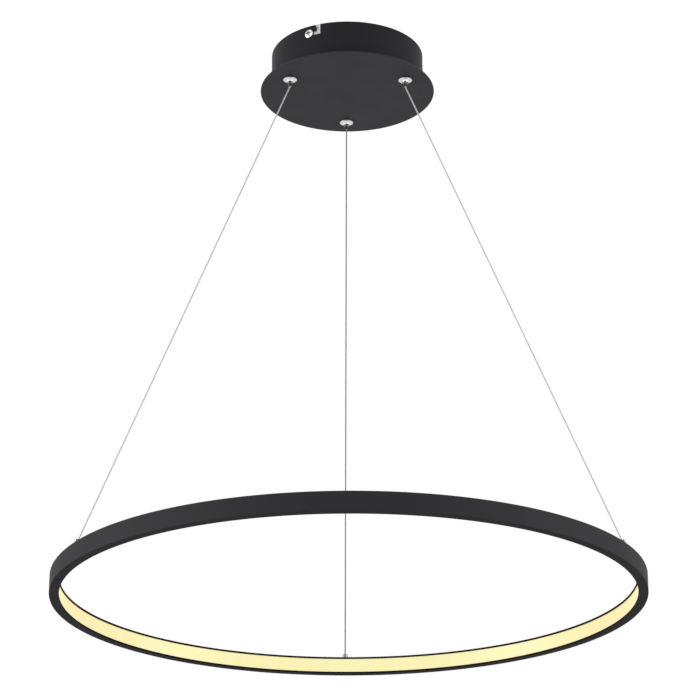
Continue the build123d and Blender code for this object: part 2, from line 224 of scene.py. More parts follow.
class RingLampWires(PropertyGroup):
    """The suspension wires and what holds them."""

    radius: FloatProperty(
        name="Wire radius", description="Outer radius of the wire rope",
        default=0.75 * MM, min=0.0002, unit="LENGTH",
    )
    strands: IntProperty(
        name="Strands", description="Strands laid round the rope's core",
        default=6, min=3,
    )
    lay: FloatProperty(
        name="Lay", description="Length in which a strand goes once round the rope",
        default=11.0 * MM, min=0.002, unit="LENGTH",
    )
    groove: FloatProperty(
        name="Groove share",
        description="Depth of the grooves between strands, as a share of the radius",
        default=0.2, min=0.0, max=0.3, subtype="FACTOR",
    )
    cup_round: FloatProperty(
        name="Cup round", description="Rounding of the wire cups on the ring",
        default=0.25 * MM, min=0.0, unit="LENGTH",
    )


class RingLampFinish(PropertyGroup):
    """Colours of the finishes."""

    ring_coat: FloatVectorProperty(
        name="Ring coat", description="Colour of the ring's matt powder coat",
        default=(0.0255, 0.0252, 0.028), min=0.0, max=1.0, subtype="COLOR",
    )
    # Painted shade: a darker copy of the ring's coat for its inward faces round the lips, where
    # shade falls
    lip_painted_shade: FloatVectorProperty(
        name="Lip coat", description="Colour of the thin coat on the ring's inward faces",
        default=(0.006, 0.006, 0.0062), min=0.0, max=1.0, subtype="COLOR",
    )
    # Painted shade: the drum has the same powder coat as the disc, made darker
    drum_coat_and_shade: FloatVectorProperty(
        name="Drum coat", description="Colour of the canopy drum's matt powder coat",
        default=(0.0142, 0.0144, 0.0168), min=0.0, max=1.0, subtype="COLOR",
    )
    disc_coat: FloatVectorProperty(
        name="Disc coat", description="Colour of the canopy disc's matt powder coat",
        default=(0.018, 0.0179, 0.0205), min=0.0, max=1.0, subtype="COLOR",
    )
    nickel: FloatVectorProperty(
        name="Nickel", description="Colour of the bright nickel plate",
        default=(0.92, 0.915, 0.90), min=0.0, max=1.0, subtype="COLOR",
    )
    zinc: FloatVectorProperty(
        name="Zinc", description="Colour of the zinc plate",
        default=(0.50, 0.52, 0.55), min=0.0, max=1.0, subtype="COLOR",
    )
    rope: FloatVectorProperty(
        name="Wire rope", description="Colour of the two side wires",
        default=(0.46, 0.46, 0.46), min=0.0, max=1.0, subtype="COLOR",
    )
    # Painted shade: the far wire is the same rope as the side wires, made darker
    far_rope_shade: FloatVectorProperty(
        name="Dark wire rope", description="Colour of the far wire",
        default=(0.16, 0.16, 0.16), min=0.0, max=1.0, subtype="COLOR",
    )


class RingLampStage(PropertyGroup):
    """The camera, the lamps and the floor."""

    camera_place: FloatVectorProperty(
        name="Camera place", description="Where the camera stands",
        default=(0.0, -2.465, -1.315), subtype="TRANSLATION", unit="LENGTH",
    )
    camera_rise: FloatProperty(
        name="Camera rise", description="How far the camera looks up",
        default=radians(21.54), subtype="ANGLE", unit="ROTATION",
    )
    camera_roll: FloatProperty(
        name="Camera roll", description="How far the camera leans",
        default=radians(-0.16), subtype="ANGLE", unit="ROTATION",
    )
    lens: FloatProperty(
        name="Lens", description="Focal length in millimetres on a 36 mm sensor",
        default=131.06, min=1.0, unit="CAMERA",
    )
    floor_depth: FloatProperty(
        name="Floor depth", description="Ceiling to the floor",
        default=4.6, min=0.5, unit="LENGTH",
    )
    floor_colour: FloatVectorProperty(
        name="Floor colour", description="Colour of the pale floor",
        default=(0.83, 0.83, 0.825), min=0.0, max=1.0, subtype="COLOR",
    )
    surround: FloatProperty(
        name="Surround", description="Brightness of the room on matt surfaces, where 1 is white",
        default=0.85, min=0.0, max=1.0, subtype="FACTOR",
    )
    side_light: FloatProperty(
        name="Side light", description="Power of each soft lamp at the sides, in watts",
        default=34.0, min=0.0,
    )
    front_light: FloatProperty(
        name="Front light", description="Power of the soft lamp behind the viewer, in watts",
        default=12.0, min=0.0,
    )


# ---------------------------------------------------------------- mesh helpers

def new_piece(bm, name, place=(0, 0, 0)):
    """Makes an object from a bmesh, with its faces turned outwards, and links it."""
    bmesh.ops.recalc_face_normals(bm, faces=bm.faces)
    mesh = bpy.data.meshes.new(name)
    bm.to_mesh(mesh)
    bm.free()
    piece = bpy.data.objects.new(name, mesh)
    piece.location = place
    bpy.context.scene.collection.objects.link(piece)
    return piece


def crease(piece, angle=radians(32)):
    """Shades a piece smooth, with sharp creases and normals that follow its large faces."""
    piece.data.shade_smooth()
    piece.data.set_sharp_from_angle(angle=angle)
    normals = piece.modifiers.new("Even normals", "WEIGHTED_NORMAL")
    normals.keep_sharp = True
    return piece


def softened(corners, cuts=3):
    """An outline from its (x, y, rounding) corners, with an arc at each that has a rounding."""
    points = []
    for index, (x, y, rounding) in enumerate(corners):
        here = Vector((x, y))
        if not rounding:
            points.append(here)
            continue
        before = (Vector(corners[index - 1][:2]) - here).normalized()
        after = (Vector(corners[(index + 1) % len(corners)][:2]) - here).normalized()
        half = before.angle(after) / 2
        reach = rounding / tan(half)
        centre = here + (before + after).normalized() * rounding / sin(half)
        first, last = here + before * reach - centre, here + after * reach - centre
        points += [
            centre + first.slerp(last, step / cuts).normalized() * rounding
            for step in range(cuts + 1)
        ]
    return points


def bulged(start, end, rise, cuts=10):
    """The inner points of an arc from start to end that stands out from their chord by rise."""
    start, end = Vector(start), Vector(end)
    chord = end - start
    radius = (chord.length_squared / 4 + rise * rise) / (2 * rise)
    out = Vector((chord.y, -chord.x)).normalized()
    centre = (start + end) / 2 + out * (rise - radius)
    first, last = start - centre, end - centre
    return [
        centre + first.slerp(last, step / cuts).normalized() * radius
        for step in range(1, cuts)
    ]


def threaded(radius, foot, top, pitch):
    """The zigzag of a thread's outline from foot to top, inside the given radius."""
    turns = max(1, round((top - foot) / pitch))
    step = (top - foot) / turns
    depth = 0.45 * pitch
    points = []
    for turn in range(turns):
        start = foot + turn * step
        points += [(radius - depth, start), (radius, start + step / 2)]
    return points + [(radius - depth, top)]


def turned(name, outline, steps, place=(0, 0, 0)):
    """Turns a (radius, height) outline about the upright axis through place.

    The outline is closed unless both its ends lie on the axis.
    """
    bm = bmesh.new()
    verts = [bm.verts.new((radius, 0, height)) for radius, height in outline]
    pairs = list(zip(verts, verts[1:]))
    if outline[0][0] > 0 or outline[-1][0] > 0:
        pairs.append((verts[-1], verts[0]))
    edges = [bm.edges.new(pair) for pair in pairs]
    bmesh.ops.spin(
        bm, geom=verts + edges, cent=(0, 0, 0), axis=(0, 0, 1),
        angle=2 * pi, steps=steps, use_merge=True,
    )
    bmesh.ops.remove_doubles(bm, verts=bm.verts, dist=1e-7)
    return new_piece(bm, name, place)


def slab(name, outline, thickness, turn):
    """A flat outline made solid, half its thickness to each side, and turned into place."""
    bm = bmesh.new()
    face = bm.faces.new([bm.verts.new((x, y, -thickness / 2)) for x, y in outline])
    grown = bmesh.ops.extrude_face_region(bm, geom=[face])
    moved = [item for item in grown["geom"] if isinstance(item, bmesh.types.BMVert)]
    bmesh.ops.translate(bm, verts=moved, vec=(0, 0, thickness))
    piece = new_piece(bm, name)
    piece.matrix_world = turn
    return piece


def cut_away(piece, cutters):
    """Cuts the cutters out of a piece and removes them."""
    for cutter in cutters:
        cut = piece.modifiers.new("Cut", "BOOLEAN")
        cut.operation = "DIFFERENCE"
        cut.solver = "EXACT"
        cut.object = cutter
    bpy.context.view_layer.update()
    shown = piece.evaluated_get(bpy.context.evaluated_depsgraph_get())
    mesh = bpy.data.meshes.new_from_object(shown)
    piece.modifiers.clear()
    piece.data = mesh
    for cutter in cutters:
        bpy.data.objects.remove(cutter)
    return piece


def facing(azimuth, radius, height):
    """A frame that faces outwards at an azimuth, with x towards rising azimuths and y up."""
    out = Vector((cos(azimuth), sin(azimuth), 0))
    along = Vector((-sin(azimuth), cos(azimuth), 0))
    turn = Matrix((along, (0, 0, 1), out)).transposed().to_4x4()
    return Matrix.Translation(out * radius + Vector((0, 0, height))) @ turn


def finish_piece(piece, material, body, slot, *nodes):
    """Gives a piece its material and body, and lets it stand for its CAD nodes; the slot is not
    used.
    """
    piece.data.materials.clear()
    piece.data.materials.append(material)
    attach(piece, body)
    if nodes:
        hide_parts(*nodes)
    return piece


def recoat(piece, material, chosen):
    """Gives a second material to the faces of a finished piece for which chosen is true."""
    piece.data.materials.append(material)
    for face in piece.data.polygons:
        if chosen(face):
            face.material_index = 1


def refinish(material, *nodes):
    """Gives CAD nodes that stay as they are a better material."""
    for node in nodes:
        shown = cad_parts[node]
        shown.data.materials.clear()
        shown.data.materials.append(material)


# ---------------------------------------------------------------- node helpers

def add_node(tree, kind, inputs=None, **settings):
    """Adds a node, sets its attributes, and sets or links its inputs."""
    node = tree.nodes.new(kind)
    for key, value in settings.items():
        setattr(node, key, value)
    for key, value in (inputs or {}).items():
        if isinstance(value, bpy.types.NodeSocket):
            tree.links.new(value, node.inputs[key])
        else:
            node.inputs[key].default_value = value
    return node


def maths(tree, operation, *values):
    """A Math node's result."""
    return add_node(tree, "ShaderNodeMath", dict(enumerate(values)), operation=operation).outputs[0]


def ramp(tree, value, low, high, to_low=0.0, to_high=1.0):
    """A value taken from the range low to high to another range."""
    return add_node(
        tree, "ShaderNodeMapRange",
        {"Value": value, "From Min": low, "From Max": high, "To Min": to_low, "To Max": to_high},
    ).outputs["Result"]


def blended(tree, share, first, second):
    """Two colours mixed by a share."""
    node = add_node(tree, "ShaderNodeMix", data_type="RGBA")
    pairs = ((node.inputs[0], share), (node.inputs[6], first), (node.inputs[7], second))
    for socket, value in pairs:
        if isinstance(value, bpy.types.NodeSocket):
            tree.links.new(value, socket)
        else:
            socket.default_value = value
    return node.outputs[2]


def stretched(tree, vector, factor):
    """A vector or colour times a factor."""
    return add_node(
        tree, "ShaderNodeVectorMath", {"Vector": vector, "Scale": factor}, operation="SCALE",
    ).outputs[0]


def object_place(tree):
    """A surface point in its piece's own frame."""
    return add_node(tree, "ShaderNodeTexCoord").outputs["Object"]


def scaled_place(tree, size):
    """A surface point counted in steps of the given size."""
    share = maths(tree, "DIVIDE", 1.0, size)
    return stretched(tree, object_place(tree), share)


def from_axis(tree):
    """A surface point's distance from its piece's upright axis, and its height."""
    apart = add_node(tree, "ShaderNodeSeparateXYZ", {0: object_place(tree)}).outputs
    squares = [maths(tree, "MULTIPLY", apart[axis], apart[axis]) for axis in (0, 1)]
    return maths(tree, "SQRT", maths(tree, "ADD", *squares)), apart[2]


def noise(tree, vector, detail=2.0, roughness=0.5):
    """Noise with one bump per step of the vector."""
    return add_node(
        tree, "ShaderNodeTexNoise",
        {"Vector": vector, "Scale": 1.0, "Detail": detail, "Roughness": roughness},
    ).outputs["Fac"]


def new_group(name, inputs, outputs):
    """An empty shader node group with its sockets, and its inner ends."""
    tree = bpy.data.node_groups.new(name, "ShaderNodeTree")
    for label, kind, default in inputs:
        socket = tree.interface.new_socket(label, in_out="INPUT", socket_type=kind)
        socket.default_value = default
    for label, kind in outputs:
        tree.interface.new_socket(label, in_out="OUTPUT", socket_type=kind)
    return tree, tree.nodes.new("NodeGroupInput").outputs, tree.nodes.new("NodeGroupOutput")


COLOUR, VALUE = "NodeSocketColor", "NodeSocketFloat"


def powder_coat_group():
    """Fine orange peel and a faint mottling, as baked powder has, and a sparse speckle with painted
    glints.
    """
    tree, given, result = new_group(
        "Powder Coat",
        [("Colour", COLOUR, (0.02, 0.02, 0.02, 1)), ("Grain Size", VALUE, 0.0006),
         ("Mottling", VALUE, 0.15), ("Roughness", VALUE, 0.5)],
        [("Colour", COLOUR), ("Roughness", VALUE), ("Height", VALUE)],
    )
    peel = noise(tree, scaled_place(tree, given["Grain Size"]), detail=3.0, roughness=0.6)
    fine_size = maths(tree, "MULTIPLY", given["Grain Size"], 0.3)
    speckle = noise(tree, scaled_place(tree, fine_size), detail=1.0)
    patch_size = maths(tree, "MULTIPLY", given["Grain Size"], 60.0)
    patches = noise(tree, scaled_place(tree, patch_size), detail=4.0)
    lighter = maths(tree, "MULTIPLY", ramp(tree, patches, 0.3, 0.7), given["Mottling"])
    # Painted glints: the speckle's peaks are made paler
    glint = ramp(tree, speckle, 0.62, 0.75, 0.0, 0.25)
    share = maths(tree, "ADD", lighter, glint)
    pale = stretched(tree, given["Colour"], 1.9)
    tree.links.new(blended(tree, share, given["Colour"], pale), result.inputs["Colour"])
    uneven = ramp(tree, patches, 0.3, 0.7, -0.5, 0.5)
    rougher = maths(tree, "MULTIPLY_ADD", uneven, 0.10, given["Roughness"])
    tree.links.new(rougher, result.inputs["Roughness"])
    tree.links.new(maths(tree, "MULTIPLY_ADD", speckle, 0.3, peel), result.inputs["Height"])
    return tree


def machined_group():
    """Fine lines round a turned piece's own axis, and a cloudy handling film."""
    tree, given, result = new_group(
        "Machined Lines",
        [("Colour", COLOUR, (0.6, 0.6, 0.6, 1)), ("Line Spacing", VALUE, 0.00012),
         ("Film", VALUE, 0.2), ("Roughness", VALUE, 0.2)],
        [("Colour", COLOUR), ("Roughness", VALUE), ("Height", VALUE)],
    )
    counted = [maths(tree, "DIVIDE", value, given["Line Spacing"]) for value in from_axis(tree)]
    across = add_node(tree, "ShaderNodeCombineXYZ", dict(enumerate(counted))).outputs[0]
    lines = noise(tree, across, detail=2.0)
    cloud_size = maths(tree, "MULTIPLY", given["Line Spacing"], 18.0)
    clouds = noise(tree, scaled_place(tree, cloud_size), detail=5.0, roughness=0.6)
    dulled = maths(tree, "MULTIPLY", ramp(tree, clouds, 0.35, 0.75), given["Film"])
    dark = stretched(tree, given["Colour"], 0.62)
    tree.links.new(blended(tree, dulled, given["Colour"], dark), result.inputs["Colour"])
    rougher = maths(tree, "MULTIPLY_ADD", dulled, 0.45, given["Roughness"])
    tree.links.new(maths(tree, "MULTIPLY_ADD", lines, 0.06, rougher), result.inputs["Roughness"])
    tree.links.new(lines, result.inputs["Height"])
    return tree


def moulded_group():
    """The spark-eroded grain of moulded plastic, with a slight yellowing in patches."""
    tree, given, result = new_group(
        "Moulded Grain",
        [("Colour", COLOUR, (0.8, 0.8, 0.78, 1)), ("Aged Colour", COLOUR, (0.74, 0.71, 0.62, 1)),
         ("Grain Size", VALUE, 0.0004), ("Ageing", VALUE, 0.3), ("Roughness", VALUE, 0.45)],
        [("Colour", COLOUR), ("Roughness", VALUE), ("Height", VALUE)],
    )
    grain = noise(tree, scaled_place(tree, given["Grain Size"]), detail=2.0)
    patch_size = maths(tree, "MULTIPLY", given["Grain Size"], 50.0)
    patches = noise(tree, scaled_place(tree, patch_size), detail=4.0)
    aged = maths(tree, "MULTIPLY", ramp(tree, patches, 0.35, 0.75), given["Ageing"])
    yellowed = blended(tree, aged, given["Colour"], given["Aged Colour"])
    tree.links.new(yellowed, result.inputs["Colour"])
    rougher = maths(tree, "MULTIPLY_ADD", grain, 0.12, given["Roughness"])
    tree.links.new(rougher, result.inputs["Roughness"])
    tree.links.new(grain, result.inputs["Height"])
    return tree


def strands_group():
    """The single wires of a rope's strands, from its lengthwise and crosswise coordinates."""
    tree, given, result = new_group(
        "Rope Strands",
        [("Colour", COLOUR, (0.5, 0.5, 0.5, 1)), ("Groove Colour", COLOUR, (0.1, 0.1, 0.1, 1)),
         ("Wires", VALUE, 3.0), ("Strands", VALUE, 6.0)],
        [("Colour", COLOUR), ("Roughness", VALUE), ("Height", VALUE)],
    )
    place = add_node(tree, "ShaderNodeTexCoord").outputs["UV"]
    apart = add_node(tree, "ShaderNodeSeparateXYZ", {0: place}).outputs
    turns = maths(tree, "MULTIPLY", apart[0], given["Strands"])
    across = maths(tree, "FRACT", turns)
    from_middle = maths(tree, "ABSOLUTE", maths(tree, "SUBTRACT", across, 0.5))
    groove = ramp(tree, from_middle, 0.30, 0.5)
    counter_lay = maths(tree, "SUBTRACT", turns, maths(tree, "MULTIPLY", apart[1], 2.0))
    phase = maths(tree, "MULTIPLY", maths(tree, "MULTIPLY", counter_lay, given["Wires"]), 2 * pi)
    wires = maths(tree, "MULTIPLY_ADD", maths(tree, "SINE", phase), 0.5, 0.5)
    dulled = noise(tree, scaled_place(tree, 0.004), detail=4.0)
    # Painted shade: the grooves between strands and the gaps between single wires are darkened,
    # with a random dulling on top
    shade = maths(tree, "MAXIMUM", groove, maths(tree, "MULTIPLY", wires, 0.35))
    shade = maths(tree, "MULTIPLY_ADD", ramp(tree, dulled, 0.4, 0.8), 0.15, shade)
    shaded = blended(tree, shade, given["Colour"], given["Groove Colour"])
    tree.links.new(shaded, result.inputs["Colour"])
    tree.links.new(ramp(tree, dulled, 0.3, 0.7, 0.45, 0.6), result.inputs["Roughness"])
    tree.links.new(maths(tree, "SUBTRACT", 1.0, shade), result.inputs["Height"])
    return tree


def new_material(name):
    """A new material, its node tree and its Principled shader."""
    material = bpy.data.materials.new(name)
    material.use_nodes = True
    return material, material.node_tree, material.node_tree.nodes["Principled BSDF"]


def emboss(tree, shader, strength, distance, height):
    """Feeds a height to the shader's normal through a bump."""
    bump = add_node(
        tree, "ShaderNodeBump", {"Strength": strength, "Distance": distance, "Height": height},
    )
    tree.links.new(bump.outputs["Normal"], shader.inputs["Normal"])


def surface(name, group, values, bump, **constants):
    """A material whose Principled shader is fed by one effect group and has its own constants."""
    material, tree, shader = new_material(name)
    effect = add_node(tree, "ShaderNodeGroup", node_tree=group)
    for key, value in values.items():
        effect.inputs[key].default_value = value
    for key, value in constants.items():
        shader.inputs[key.replace("_", " ")].default_value = value
    tree.links.new(effect.outputs["Colour"], shader.inputs["Base Color"])
    tree.links.new(effect.outputs["Roughness"], shader.inputs["Roughness"])
    emboss(tree, shader, *bump, effect.outputs["Height"])
    return material


def group_named(name, make):
    """A node group, built the first time it is asked for."""
    return bpy.data.node_groups.get(name) or make()


def once(make):
    """A material that is built the first time its finish is asked for, and then shared."""
    made = {}

    def give(settings):
        if make not in made:
            made[make] = make(settings)
        return made[make]

    return give


def solid(colour):
    """A colour with its alpha."""
    return (*colour, 1.0)


# ---------------------------------------------------------------- finishes

def powder_coat(name, colour, sheen):
    """Matt black powder coat."""
    return surface(
        name, group_named("Powder Coat", powder_coat_group),
        {"Colour": solid(colour), "Grain Size": 0.5 * MM, "Mottling": 0.08, "Roughness": 0.46},
        (0.25, 0.05 * MM), Specular_IOR_Level=sheen,
    )


def machined(name, colour, spacing, film, roughness):
    """A turned and plated metal."""
    return surface(
        name, group_named("Machined Lines", machined_group),
        {"Colour": solid(colour), "Line Spacing": spacing, "Film": film, "Roughness": roughness},
        (0.15, 0.02 * MM), Metallic=1.0,
    )


@once
def nickel(finish):
    """Bright nickel plate."""
    return machined("nickel_plate", finish.nickel, 0.10 * MM, 0.08, 0.26)


@once
def zinc(finish):
    """Zinc plate on nuts and plugs."""
    return machined("zinc_plate", finish.zinc, 0.16 * MM, 0.45, 0.30)


def moulded(name, colour, aged, grain, roughness):
    """Moulded plastic."""
    return surface(
        name, group_named("Moulded Grain", moulded_group),
        {"Colour": solid(colour), "Aged Colour": solid(aged), "Grain Size": grain,
         "Ageing": 0.35, "Roughness": roughness},
        (0.2, 0.04 * MM),
    )


def rope_steel(name, colour, wires):
    """Fine steel wire rope."""
    # The grooves get a darker copy of the colour as painted shade
    return surface(
        name, group_named("Rope Strands", strands_group),
        {"Colour": solid(colour), "Groove Colour": solid([0.6 * value for value in colour]),
         "Wires": 3.0, "Strands": float(wires.strands)},
        (0.3, 0.04 * MM), Metallic=0.25, Specular_IOR_Level=0.3,
    )


def galvanised():
    """Galvanised sheet with its frosty spangle."""
    material, tree, shader = new_material("galvanised_sheet")
    shader.inputs["Metallic"].default_value = 1.0
    crystals = add_node(
        tree, "ShaderNodeTexVoronoi", {"Vector": scaled_place(tree, 3.2 * MM), "Scale": 1.0},
    ).outputs["Color"]
    tone = add_node(tree, "ShaderNodeSeparateXYZ", {0: crystals}).outputs
    frost = noise(tree, scaled_place(tree, 0.5 * MM), detail=4.0)
    colour = blended(tree, tone[0], (0.36, 0.38, 0.40, 1), (0.60, 0.62, 0.64, 1))
    tree.links.new(colour, shader.inputs["Base Color"])
    rougher = ramp(tree, maths(tree, "ADD", tone[1], frost), 0.3, 1.6, 0.28, 0.55)
    tree.links.new(rougher, shader.inputs["Roughness"])
    emboss(tree, shader, 0.2, 0.03 * MM, frost)
    return material


def lit_opal(ring):
    """Opal acrylic lit from behind, with a faint brighter spot in front of each chip.

    It has painted shade, dimmer and warmer, along its edges by the lips and towards its left and
    right ends.
    """
    material, tree, shader = new_material("lit_opal")
    shader.inputs["Specular IOR Level"].default_value = 0.3
    shader.inputs["Emission Strength"].default_value = ring.glow_strength
    apart = add_node(tree, "ShaderNodeSeparateXYZ", {0: object_place(tree)}).outputs
    angle = maths(tree, "ARCTAN2", apart[1], apart[0])
    spots = maths(tree, "COSINE", maths(tree, "MULTIPLY", angle, float(ring.led_count)))
    half_height = (RING_HIGH.z - RING_LOW.z) / 2
    middle_height = (RING_HIGH.z + RING_LOW.z) / 2
    from_middle = maths(tree, "ABSOLUTE", maths(tree, "SUBTRACT", apart[2], middle_height))
    # Painted shade along the top and bottom edges, by the lips
    edge = ramp(tree, from_middle, 0.62 * half_height, half_height)
    cloud = noise(tree, scaled_place(tree, 9 * MM), detail=3.0)
    dim = maths(tree, "MULTIPLY_ADD", spots, -0.02, 0.02)
    dim = maths(tree, "MULTIPLY_ADD", cloud, 0.03, dim)
    dim = maths(tree, "MULTIPLY_ADD", edge, 0.30, dim)
    glow = solid(ring.glow_colour)
    warm = (glow[0] * 0.93, glow[1] * 0.62, glow[2] * 0.42, 1)
    # Painted shade towards the left and right ends, as the band looks when seen edge-on
    from_centre = maths(tree, "ABSOLUTE", apart[0])
    end_shade = ramp(tree, from_centre, 0.70 * DIFFUSER_HIGH.x, DIFFUSER_HIGH.x, 0.0, 0.28)
    warmth = maths(tree, "ADD", dim, end_shade)
    tree.links.new(blended(tree, warmth, glow, warm), shader.inputs["Emission Color"])
    body = blended(tree, cloud, (0.07, 0.066, 0.05, 1), (0.09, 0.085, 0.065, 1))
    tree.links.new(body, shader.inputs["Base Color"])
    tree.links.new(ramp(tree, cloud, 0.3, 0.7, 0.38, 0.5), shader.inputs["Roughness"])
    return material


def led_board():
    """A white flexible board with warm chips, which stand nearer to the axis than the board."""
    material = moulded("chip_board", (0.72, 0.71, 0.66), (0.70, 0.66, 0.52), 0.3 * MM, 0.4)
    tree = material.node_tree
    shader = tree.nodes["Principled BSDF"]
    board = shader.inputs["Base Color"].links[0].from_socket
    radius, _ = from_axis(tree)
    chip = maths(tree, "LESS_THAN", radius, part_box("led_strip")[1].x - CHIP_FACE)
    tree.links.new(blended(tree, chip, board, (0.78, 0.56, 0.12, 1)), shader.inputs["Base Color"])
    return material


def foam():
    """Dense black foam with open cells, with painted shade in the cells' pits."""
    material, tree, shader = new_material("foam")
    cells = add_node(
        tree, "ShaderNodeTexVoronoi", {"Vector": scaled_place(tree, 0.7 * MM), "Scale": 1.0},
    ).outputs["Distance"]
    # Painted shade: darker towards each cell's middle, where the pits are
    colour = blended(tree, cells, (0.012, 0.012, 0.013, 1), (0.05, 0.05, 0.052, 1))
    tree.links.new(colour, shader.inputs["Base Color"])
    tree.links.new(ramp(tree, cells, 0.0, 0.8, 0.75, 0.95), shader.inputs["Roughness"])
    emboss(tree, shader, 0.6, 0.2 * MM, cells)
    return material


# ---------------------------------------------------------------- wires

def rope_route(side, diameter):
    """A wire's route: the gripper's throat, the mouth where it bends, and the landing in its cup.

    It runs straight for a long way, so it has a point a lead from the mouth and one from the cup.
    """
    low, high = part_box(f"suspension_wire_{side}")
    throat = middle_at(f"gripper_nut_{side}", high.z)
    mouth = middle_at(f"gripper_nut_{side}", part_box(f"plunger_{side}")[0].z)
    landing = middle_at(f"wire_holder_{side}", low.z)
    lead = (landing - mouth).normalized() * LEAD_DIAMETERS * diameter
    return throat, mouth, mouth + lead, landing - lead, landing


def spline_points(name, route, least):
    """Points read from the NURBS spline of a route, none nearer together than least."""
    curve = bpy.data.curves.new(name, "CURVE")
    curve.dimensions = "3D"
    curve.resolution_u = 1024
    spline = curve.splines.new("NURBS")
    spline.points.add(len(route) - 1)
    for point, place in zip(spline.points, route):
        point.co = (*place, 1)
    spline.order_u = 3
    spline.use_endpoint_u = True
    holder = bpy.data.objects.new(name, curve)
    mesh = bpy.data.meshes.new_from_object(holder)
    first, *between, last = [vertex.co.copy() for vertex in mesh.vertices]
    bpy.data.meshes.remove(mesh)
    bpy.data.objects.remove(holder)
    bpy.data.curves.remove(curve)
    kept = [first]
    for point in between:
        if min((point - kept[-1]).length, (last - point).length) >= least:
            kept.append(point)
    return [*kept, last]


def rope_mesh(name, points, wires):
    """A rope along the points: strands as lobes that turn once per lay.

    Its UV coordinates run once round the rope, and along it by one for each lay.
    """
    around = 4 * wires.strands
    bm = bmesh.new()
    coordinates = bm.loops.layers.uv.new("UVMap")
    rings, travelled, gone = [], [], 0.0
    for index, point in enumerate(points):
        if index:
            gone += (point - points[index - 1]).length
        travelled.append(gone)
        ahead = points[min(index + 1, len(points) - 1)] - points[max(index - 1, 0)]
        turn = ahead.to_track_quat("Z", "Y")
        twist = 2 * pi * gone / wires.lay
        ring = []
        for corner in range(around):
            angle = 2 * pi * corner / around
            lobe = abs(sin(wires.strands * angle / 2))
            radius = wires.radius * (1 - wires.groove * (1 - lobe))
            local = Vector((radius * cos(angle + twist), radius * sin(angle + twist), 0))
            ring.append(bm.verts.new(point + turn @ local))
        rings.append(ring)
    for index in range(len(rings) - 1):
        for corner in range(around):
            after = (corner + 1) % around
            here, ahead = rings[index], rings[index + 1]
            face = bm.faces.new((here[corner], here[after], ahead[after], ahead[corner]))
            marks = (
                (corner, index), (corner + 1, index), (corner + 1, index + 1), (corner, index + 1),
            )
            for loop, (across, along) in zip(face.loops, marks):
                loop[coordinates].uv = (across / around, travelled[along] / wires.lay)
    for ring in (rings[0], rings[-1]):
        bm.faces.new(ring)
    piece = new_piece(bm, name)
    piece.data.shade_smooth()
    return piece


class RINGLAMP_OT_wires(Operator):
    """Lays the three taut suspension wires as twisted ropes"""

    bl_idname = "ring_lamp.wires"
    bl_label = "Suspension Wires"

    def execute(self, context):
        wires, finish = context.scene.ring_lamp_wires, context.scene.ring_lamp_finish
        for side in SIDES:
            route = rope_route(side, 2 * wires.radius)
            points = spline_points(f"route_{side}", route, wires.lay / MARKS_PER_LAY)
            rope = rope_mesh(f"wire_rope_{side}", points, wires)
            # The far wire gets the darker rope colour, which is painted shade
            dark = side == "back"
            slot = "wire_rope_dark" if dark else "wire_rope_steel"
            material = rope_steel(f"rope_{side}", finish.far_rope_shade if dark else finish.rope, wires)
            finish_piece(rope, material, "canopy", slot, f"suspension_wire_{side}")
            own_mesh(rope)
        return {"FINISHED"}


# ---------------------------------------------------------------- ring

class RINGLAMP_OT_ring(Operator):
    """Turns the ring's coated profile and its lit band"""

    bl_idname = "ring_lamp.ring"
    bl_label = "Ring and Light"

    def execute(self, context):
        ring, finish = context.scene.ring_lamp_ring, context.scene.ring_lamp_finish
        outer, top, foot = RING_HIGH.x, RING_HIGH.z, RING_LOW.z
        inner, web = outer - ring.width, outer - ring.web
        wall_top, wall_foot = top - ring.wall, foot + ring.wall
        groove_front = inner + ring.lip
        groove_back = DIFFUSER_HIGH.x + DIFFUSER_PLAY
        soft = ring.edge_round
        profile = softened([
            (inner, foot, LIP_ROUND), (outer, foot, soft), (outer, top, soft),
            (inner, top, LIP_ROUND), (inner, wall_top, LIP_ROUND), (groove_front, wall_top, 0),
            (groove_front, wall_top + ring.groove, 0), (groove_back, wall_top + ring.groove, 0),
            (groove_back, wall_top, 0), (web, wall_top, 0), (web, wall_foot, 0),
            (groove_back, wall_foot, 0), (groove_back, wall_foot - ring.groove, 0),
            (groove_front, wall_foot - ring.groove, 0), (groove_front, wall_foot, 0),
            (inner, wall_foot, LIP_ROUND),
        ])
        shell = crease(turned("ring_shell", profile, RING_STEPS))
        coat = powder_coat("ring_coat", finish.ring_coat, 0.005)
        finish_piece(shell, coat, "ring", "black_powder_coat_aluminium", "ring_housing")
        # The faces that look inwards, round the lips, get the painted shade instead of the ring's
        # coat
        recoat(
            shell, powder_coat("lip_painted_shade", finish.lip_painted_shade, 0.005),
            lambda face: face.normal.xy.dot(face.center.xy.normalized()) < -0.5,
        )

        band_low, band_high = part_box("ring_diffuser")
        front = groove_front + DIFFUSER_PLAY
        band = softened([
            (front, band_low.z, LIP_ROUND), (DIFFUSER_HIGH.x, band_low.z, 0),
            (DIFFUSER_HIGH.x, band_high.z, 0), (front, band_high.z, LIP_ROUND),
        ])
        light = crease(turned("ring_light", band, RING_STEPS))
        finish_piece(light, lit_opal(ring), "ring", "opal_diffuser", "ring_diffuser")
        refinish(led_board(), "led_strip")
        return {"FINISHED"}


